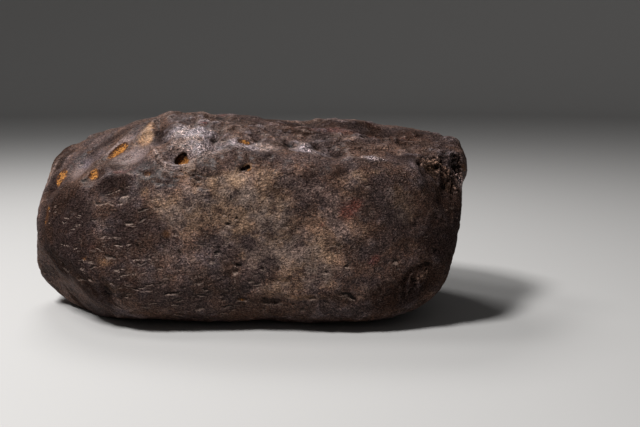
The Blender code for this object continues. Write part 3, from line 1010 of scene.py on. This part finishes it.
def between(value, low, high):
    """0 below low, 1 above high, and a smooth step between them."""
    return add(value.tree, "ShaderNodeMapRange", {"Value": value, "From Min": low, "From Max": high},
               interpolation_type="SMOOTHSTEP")


def blend(share, below, above, kind="MIX"):
    """Lays one colour over another by a share."""
    tree = tree_of(share, below, above)
    below, above = (colour if isinstance(colour, Output) else (*colour, 1) for colour in (below, above))
    mix = add(tree, "ShaderNodeMix", {0: share, 6: below, 7: above}, data_type="RGBA", blend_type=kind)
    return mix.other(2)


def number(share, below, above):
    """Goes from one number to another by a share."""
    tree = tree_of(share, below, above)
    return add(tree, "ShaderNodeMix", {0: share, 2: below, 3: above}, data_type="FLOAT")


def grain(where, size, detail, roughness):
    """Noise whose grains are about so many millimetres across."""
    return add(where.tree, "ShaderNodeTexNoise", {"Vector": where, "Scale": 1 / (size * MM),
                                                  "Detail": detail, "Roughness": roughness})


def spots(where, long, wide, kept, lift=0.0):
    """Small spots that lie along the stone, only a share of the possible ones kept. A lift sets
    them higher, in millimetres."""
    scale = (1 / (long * MM), 1 / (long * MM), 1 / (wide * MM))
    squeezed = add(where.tree, "ShaderNodeMapping", {"Vector": where, "Location": (0, 0, lift / wide),
                                                     "Scale": scale})
    cells = add(where.tree, "ShaderNodeTexVoronoi", {"Vector": squeezed, "Scale": 1.0})
    dice = add(where.tree, "ShaderNodeSeparateColor", {0: cells.other("Color")})
    edge = cells.other("Distance") + dice.other(1) * SPOT_SPREAD
    return dice.reckoned("LESS_THAN", dice, kept) * between(edge, *SPOT_EDGE)


def hatching(where):
    """Short crooked strokes that cross each other, most of them along the stone."""
    found = []
    for turn, long, wide in HATCHES:
        placed = {"Vector": where, "Rotation": (0, turn, turn), "Scale": (long * MM, wide * MM, wide * MM)}
        turned = add(where.tree, "ShaderNodeMapping", placed, vector_type="TEXTURE")
        found.append(add(where.tree, "ShaderNodeTexNoise", {"Vector": turned, "Scale": 1.0, "Detail": 1.0}))
    return number(0.5, found[0], number(0.5, found[1], found[2]))


def from_middle(along, across):
    """Distance from the middle of a pit, 1 at its rim."""
    squares = along * along + across * across
    return squares.reckoned("SQRT", squares)


def shaken(where, size, reach):
    """The place moved about by up to so many millimetres, so that what lies there is uneven."""
    drift = add(where.tree, "ShaderNodeTexNoise", {"Vector": where, "Scale": 1 / (size * MM), "Detail": 2.0})
    push = add(where.tree, "ShaderNodeVectorMath", {0: drift.other("Color"), 1: (0.5, 0.5, 0.5)},
               operation="SUBTRACT")
    return add(where.tree, "ShaderNodeVectorMath", {0: push, 1: (2 * reach * MM,) * 3, 2: where},
               operation="MULTIPLY_ADD")


# Colours of the iron's skin.
DARK_IRON = (0.025, 0.0145, 0.0118)
GREY_IRON = (0.046, 0.0295, 0.0255)
BROWN_IRON = (0.082, 0.050, 0.041)
BLUE_GREY = (0.262, 0.209, 0.205)
PURPLE_GREY = (0.135, 0.105, 0.110)
TAN_DUST = (0.29, 0.190, 0.148)
OLIVE_DUST = (0.245, 0.176, 0.132)
OCHRE = (0.42, 0.255, 0.145)
ORANGE_RUST = (0.47, 0.200, 0.050)
BROWN_RUST = (0.075, 0.032, 0.016)
RED_BROWN = (0.105, 0.037, 0.032)
# Black for open pores, and for the painted shade in hollows and pit holes.
PIT_BLACK = (0.010, 0.007, 0.006)
# Pale colour for painted glints and for the painted highlight on pit lips.
PAINTED_HIGHLIGHT = (0.44, 0.32, 0.265)
# Tints that the colour is multiplied by: two that drift over the whole skin, then specks,
# short strokes, and scratches in the polish.
WARM_TINT = (1.10, 1.0, 0.88)
COLD_TINT = (0.94, 0.98, 1.06)
DARK_SPECK = (0.48, 0.47, 0.49)
LIGHT_SPECK = (1.6, 1.56, 1.54)
TINTS = {
    "dark stroke": (0.52, 0.51, 0.52),
    "light stroke": (1.8, 1.72, 1.65),
    "dark scratch": (0.52, 0.52, 0.52),
    "light scratch": (1.7, 1.7, 1.7),
}

# Noise in the skin: the width of its grains in millimetres, its detail and its roughness.
GRAINS = {
    "fine": (1.0, 2.0, 0.7),
    "medium": (3.0, 3.0, 0.65),
    "broad": (13.0, 4.0, 0.55),
    "clouds": (45.0, 3.0, 0.5),
    "painted_glints": (0.9, 1.0, 0.6),
    "crumbs": (1.4, 1.0, 0.6),
}
TINT_GRAIN = (18.0, 3.0, 0.6)

# What lies on the skin is moved about: the width of the bends and their reach in millimetres.
SHAKE = (5.0, 2.5)

# The three layers of short strokes: the turn, then the length and width in millimetres.
HATCHES = ((0.1, 3.2, 0.8), (1.0, 2.4, 0.8), (-0.9, 2.4, 0.8))

# Spots: their length and width in millimetres, and the share that is kept. The edge of a spot
# lies between two distances from its middle, and varies from one to the next by the spread.
PORES = (2.1, 1.6, 0.2)
FAINT_DASHES = (9.0, 2.0, 0.25)
FAINT_LIP_LIFT = 0.6
SPOT_EDGE = (0.46, 0.24)
SPOT_SPREAD = 0.2
# The edge of a pit's hole and of its lip, where 1 is the rim.
PIT_EDGE = (1.0, 0.6)

# How the edge of each patch is frayed: by which noise, how much of it, and the sums at which
# there is nothing of the patch and at which it is whole.
Fray = namedtuple("Fray", "noise amount nothing whole")
FRAYS = {
    "ochre": Fray("medium", 0.5, 0.3, 1.3),
    "polish": Fray("medium", 0.5, 0.35, 1.1),
    "satin": Fray("broad", 0.8, 0.4, 1.5),
    "red": Fray("broad", 0.8, 0.6, 1.2),
    "dark": Fray("broad", 0.8, 0.4, 1.3),
}
# The noise, relief or patch at which each effect begins, and at which it is whole.
EDGES = {
    "brown": (0.36, 0.64), "dust": (2.1, 3.0), "olive": (0.42, 0.58), "high": (-0.2, 0.8),
    "crumb": (0.46, 0.56), "crest": (0.08, 0.5), "hollow_shade": (0.12, 0.7), "warm": (0.4, 0.6),
    "light speck": (0.36, 0.64), "dark stroke": (0.48, 0.38), "light stroke": (0.53, 0.63),
    "dark scratch": (0.49, 0.43), "light scratch": (0.52, 0.58), "scratched": (0.4, 0.6),
    "glint": (0.58, 0.72), "dashed": (0.1, 0.5), "lip grain": (0.25, 0.5), "stain": (0.0, 0.45),
    "rust": (2.25, 2.75), "rust core": (0.0, 0.15), "orange": (0.39, 0.58),
}
# How strong each effect is where nothing changes it, and where something does fully: the scoops
# the dark patina and painted shade, that patina and shade the crests and the painted glints, stains
# and dust the specks, stains and that patina and shade the strokes, and iron with many dashes the
# painted highlights on the pit lips.
STRENGTH = {
    "dark": (1.0, 0.5), "crests": (0.2, 0.08), "specks": (1.0, 0.7), "strokes": (1.0, 0.25),
    "painted_glints": (0.26, 0.09), "lips": (0.5, 1.0),
}
# How strong the lighter crests, partly a painted highlight, are on lumpy iron.
LUMPY_CRESTS = 0.42
# How far each effect covers what is under it, where it is whole.
COVER = {
    "dust": 0.75, "ochre": 0.8, "satin": 0.8, "red": 0.8, "dark": 0.95, "broken": 0.8,
    "hollow_shade": 0.85, "strokes": 0.6, "pores": 0.5, "shaded_holes": 0.85, "faint lips": 0.35, "stain": 0.85,
}
# How much of each noise breaks up the dust and the rust, and how ragged it makes the pits.
BROAD_MOTTLE = 2.6
MEDIUM_MOTTLE = 1.2
MEDIUM_CRUMBS = 2.4
FINE_CRUMBS = 1.2
RAGGEDNESS = 4.0

# How rough, how metallic and how glossy the finishes are. Polish goes between two roughnesses.
BARE_ROUGH = 0.75
MATT_ROUGH = 0.9
SATIN_ROUGH = 0.48
POLISH_ROUGH = (0.55, 0.25)
POLISH_METAL = 0.8
SATIN_METAL = 0.6
BARE_COAT = 0.1
POLISH_COAT = 0.2
COAT_ROUGH = 0.35
BARE_SPECULAR = 0.05

# How high the grain stands, in millimetres: fine on plain and polished iron, medium on plain
# and lumpy iron, strokes on plain and stained iron. Dashes and pores sink in by theirs.
FINE_HEIGHT = (0.7, 1.7)
MEDIUM_HEIGHT = (0.7, 2.4)
STROKE_HEIGHT = (2.3, 0.8)
DASH_SINK = 0.7
PORE_SINK = 0.35


def weathered_iron():
    """Brown-black iron with dust, stains, polished lumps and rust, with painted shade in dark patches,
    hollows and pit holes and painted highlights on pit lips, crests and glints.
    """
    material = bpy.data.materials.new("worn_iron")
    material.use_nodes = True
    tree = material.node_tree
    shader = tree.nodes["Principled BSDF"]
    where = add(tree, "ShaderNodeTexCoord").other("Object")
    share = {name: add(tree, "ShaderNodeAttribute", attribute_name=name).other("Fac")
             for name in (*PATCHES, "pit_along", "pit_across", "pit_shown", "relief")}
    noises = {name: grain(where, *values) for name, values in GRAINS.items()}
    fine, medium, broad = noises["fine"], noises["medium"], noises["broad"]
    uneven = shaken(where, *SHAKE)
    hatch = hatching(uneven)
    frayed = {kind: between(share[kind] + noises[fray.noise] * fray.amount, fray.nothing, fray.whole)
              for kind, fray in FRAYS.items()}
    polish, satin = frayed["polish"], frayed["satin"]

    # The bare skin, brown and near black in clouds.
    colour = blend(between(broad, *EDGES["brown"]), GREY_IRON, BROWN_IRON)
    # Dust lies in mottled clouds, tan in places and olive in others.
    mottle = broad * BROAD_MOTTLE + medium * MEDIUM_MOTTLE
    dust = between(share["dust"] + mottle, *EDGES["dust"]) * COVER["dust"]
    colour = blend(dust, colour, blend(between(noises["clouds"], *EDGES["olive"]), TAN_DUST, OLIVE_DUST))
    # Ochre stains round the rust.
    ochre = frayed["ochre"] * COVER["ochre"]
    colour = blend(ochre, colour, OCHRE)
    # Polished lumps and lips are blue-grey, and the smooth scoops a darker purple-grey.
    colour = blend(polish, colour, BLUE_GREY)
    colour = blend(satin * COVER["satin"], colour, PURPLE_GREY)
    # Red-brown stains.
    colour = blend(frayed["red"] * COVER["red"], colour, RED_BROWN)
    # The dark patina and painted shade, thinner in the scoops, and the dark broken iron, partly painted
    # shade between its crystals.
    dark = frayed["dark"] * number(satin, *STRENGTH["dark"])
    colour = blend(dark * COVER["dark"], colour, DARK_IRON)
    colour = blend(share["broken"] * COVER["broken"], colour, DARK_IRON)
    # Crumbs of dust on the high parts of the broken iron, partly a painted highlight on its crystals.
    crumbs = share["broken"] * between(share["relief"], *EDGES["high"])
    colour = blend(crumbs * between(noises["crumbs"], *EDGES["crumb"]), colour, TAN_DUST)
    # Worn ridges are lighter, partly as a painted highlight that is strongest on lumpy iron, and hollows get
    # painted shade.
    crests = number(share["lumpy"], number(dark, *STRENGTH["crests"]), LUMPY_CRESTS)
    colour = blend(between(share["relief"], *EDGES["crest"]) * crests, colour, BLUE_GREY)
    hollow_shade = between(share["relief"] * -1.0, *EDGES["hollow_shade"])
    colour = blend(hollow_shade * COVER["hollow_shade"], colour, PIT_BLACK)
    tints = blend(between(grain(uneven, *TINT_GRAIN), *EDGES["warm"]), COLD_TINT, WARM_TINT)
    colour = blend(1.0, colour, tints, "MULTIPLY")
    # Dark and light specks, weaker on stains, scoops and dust.
    stained = ochre.larger(satin)
    specks = blend(between(fine, *EDGES["light speck"]), DARK_SPECK, LIGHT_SPECK)
    colour = blend(number(stained.larger(dust), *STRENGTH["specks"]), colour, specks, "MULTIPLY")
    # Short strokes, dark and light, and crisper ones where the iron is polished.
    plain = number(stained.larger(dark * COVER["strokes"]), *STRENGTH["strokes"])
    crisp = polish * satin.opposite()
    for name, strength in (("stroke", plain), ("scratch", crisp)):
        for tone in ("dark", "light"):
            drawn = between(hatch, *EDGES[f"{tone} {name}"]) * strength
            colour = blend(drawn, colour, TINTS[f"{tone} {name}"], "MULTIPLY")
    # Open pores, and pale specks that are painted glints.
    matt = polish.larger(satin).opposite()
    pores = spots(uneven, *PORES) * matt
    colour = blend(pores * COVER["pores"], colour, PIT_BLACK)
    painted_glints = between(noises["painted_glints"], *EDGES["glint"]) * number(dark, *STRENGTH["painted_glints"])
    colour = blend(painted_glints, colour, PAINTED_HIGHLIGHT)
    # Pits and dashes, with painted shade inside and a painted highlight on the lower lip. Both are ragged,
    # because the place across a pit is shaken a little.
    dashed = between(share["dashed"], *EDGES["dashed"])
    dashes = dashed * spots(uneven, *FAINT_DASHES) * matt
    # The faint dashes' painted lip highlights: the same spots, shifted so that each lies just below its
    # dash.
    faint_lip_highlights = dashed * spots(uneven, *FAINT_DASHES, FAINT_LIP_LIFT) * matt
    across = share["pit_across"] + (medium - 0.5) * RAGGEDNESS
    lip = between(from_middle(share["pit_along"], (across + LIP_DROP) / LIP_WIDTH), *PIT_EDGE)
    lips = (lip * share["pit_shown"]).larger(faint_lip_highlights * COVER["faint lips"])
    lips = lips * between(fine, *EDGES["lip grain"]) * number(dashed, *STRENGTH["lips"])
    colour = blend(lips, colour, PAINTED_HIGHLIGHT)
    hole = between(from_middle(share["pit_along"], across), *PIT_EDGE)
    shaded_holes = (hole * share["pit_shown"]).larger(dashes)
    colour = blend(shaded_holes * COVER["shaded_holes"], colour, PIT_BLACK)
    # Rust in ragged crumbs on a brown stain.
    colour = blend(between(share["rust"], *EDGES["stain"]) * COVER["stain"], colour, BROWN_RUST)
    crumbly = medium * MEDIUM_CRUMBS + fine * FINE_CRUMBS
    rust = between(share["rust"] + crumbly, *EDGES["rust"]) * between(share["rust"], *EDGES["rust core"])
    colour = blend(rust, colour, blend(between(fine, *EDGES["orange"]), BROWN_RUST, ORANGE_RUST))
    colour.feed(shader, "Base Color")

    # The gloss: matt dust and rust, satin scoops, and polish that is finely scratched.
    covered = dark.larger(dust)
    oxide = rust.larger(ochre)
    scratched = number(between(hatch, *EDGES["scratched"]), *POLISH_ROUGH)
    rough = number(polish, number(covered, BARE_ROUGH, MATT_ROUGH), scratched)
    rough = number(rust, number(satin, rough, SATIN_ROUGH), MATT_ROUGH)
    rough.feed(shader, "Roughness")
    metal = number(satin, number(polish, 0.0, POLISH_METAL), SATIN_METAL)
    number(oxide, metal, 0.0).feed(shader, "Metallic")
    coat = number(polish, number(covered, BARE_COAT, 0.0), POLISH_COAT)
    number(oxide, coat, 0.0).feed(shader, "Coat Weight")
    shader.inputs["Coat Roughness"].default_value = COAT_ROUGH
    shader.inputs["Specular IOR Level"].default_value = BARE_SPECULAR

    # The grain's own relief.
    height = fine * number(polish, *FINE_HEIGHT) + medium * number(share["lumpy"], *MEDIUM_HEIGHT)
    height = height + hatch * number(stained, *STROKE_HEIGHT) - dashes * DASH_SINK - pores * PORE_SINK
    bump = add(tree, "ShaderNodeBump", {"Strength": 1.0, "Distance": MM, "Height": height})
    bump.feed(shader, "Normal")
    return material


def pale_floor():
    material = bpy.data.materials.new("pale_floor")
    material.use_nodes = True
    shader = material.node_tree.nodes["Principled BSDF"]
    shader.inputs["Base Color"].default_value = (*FLOOR_PALE, 1)
    shader.inputs["Roughness"].default_value = FLOOR_ROUGH
    shader.inputs["Specular IOR Level"].default_value = FLOOR_SPECULAR
    return material


# The floor: the reach of its flat part, the radius of its curve, their steps, the distance
# within which its corners are one, and its finish.
FLOOR_REACH = 2.2
FLOOR_CURVE = 0.9
CURVE_STEPS = 16
ROUND_STEPS = 96
WELD = 0.1 * MM
FLOOR_PALE = (0.46, 0.45, 0.44)
FLOOR_ROUGH = 0.7
FLOOR_SPECULAR = 0.2

# The soft lights: where each stands, the place that it points at, its width and depth, and its
# power in watts. The room's own light is faint.
LIGHTS = [
    ("top", (-0.26, 0.42, 0.74), (-0.03, -0.02, 0.08), 0.36, 0.24, 3),
    ("left", (-0.56, 0.08, 0.90), (-0.06, -0.03, 0.09), 0.22, 0.22, 2.5),
    ("key", (-0.45, -0.41, 0.98), (-0.02, -0.05, 0.09), 0.22, 0.22, 15),
]
ROOM_LIGHT = 0.08


def floor():
    """A pale round floor that curves up into a low wall all round."""
    bm = bmesh.new()
    profile = [bm.verts.new((0, 0, 0)), bm.verts.new((FLOOR_REACH, 0, 0))]
    for step in range(1, CURVE_STEPS + 1):
        angle = math.pi / 2 * step / CURVE_STEPS
        profile.append(bm.verts.new((FLOOR_REACH + FLOOR_CURVE * math.sin(angle), 0,
                                     FLOOR_CURVE * (1 - math.cos(angle)))))
    edges = [bm.edges.new(pair) for pair in zip(profile, profile[1:])]
    bmesh.ops.spin(bm, geom=profile + edges, cent=(0, 0, 0), axis=(0, 0, 1), angle=2 * math.pi,
                   steps=ROUND_STEPS, use_merge=True)
    bmesh.ops.remove_doubles(bm, verts=bm.verts, dist=WELD)
    bmesh.ops.recalc_face_normals(bm, faces=bm.faces)
    return piece_of(bm, "floor", pale_floor())


def softbox(name, stand, aim, width, depth, power):
    """A soft rectangular light that points at a place."""
    light = bpy.data.lights.new(name, "AREA")
    light.shape = "RECTANGLE"
    light.size = width
    light.size_y = depth
    light.energy = power
    lamp = bpy.data.objects.new(name, light)
    lamp.location = stand
    lamp.rotation_euler = (Vector(aim) - Vector(stand)).to_track_quat("-Z", "Y").to_euler()
    bpy.context.scene.collection.objects.link(lamp)


def lights():
    for light in LIGHTS:
        softbox(*light)
    world = bpy.data.worlds.new("studio")
    bpy.context.scene.world = world
    world.use_nodes = True
    background = world.node_tree.nodes["Background"]
    background.inputs["Color"].default_value = (1, 1, 1, 1)
    background.inputs["Strength"].default_value = ROOM_LIGHT


def camera():
    lens = bpy.data.cameras.new("camera")
    lens.lens = LENS
    lens.sensor_width = SENSOR
    lens.clip_start = NEAREST_SEEN
    lens.clip_end = FURTHEST_SEEN
    eye = bpy.data.objects.new("camera", lens)
    eye.location = EYE
    eye.rotation_euler = (math.pi / 2 - TILT_DOWN, 0, 0)
    bpy.context.scene.collection.objects.link(eye)
    bpy.context.scene.camera = eye


camera()
meteorite = stone()
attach(meteorite, "root")
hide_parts("iron_meteorite")
ground = floor()
lights()
bpy.context.scene.view_settings.view_transform = "Standard"
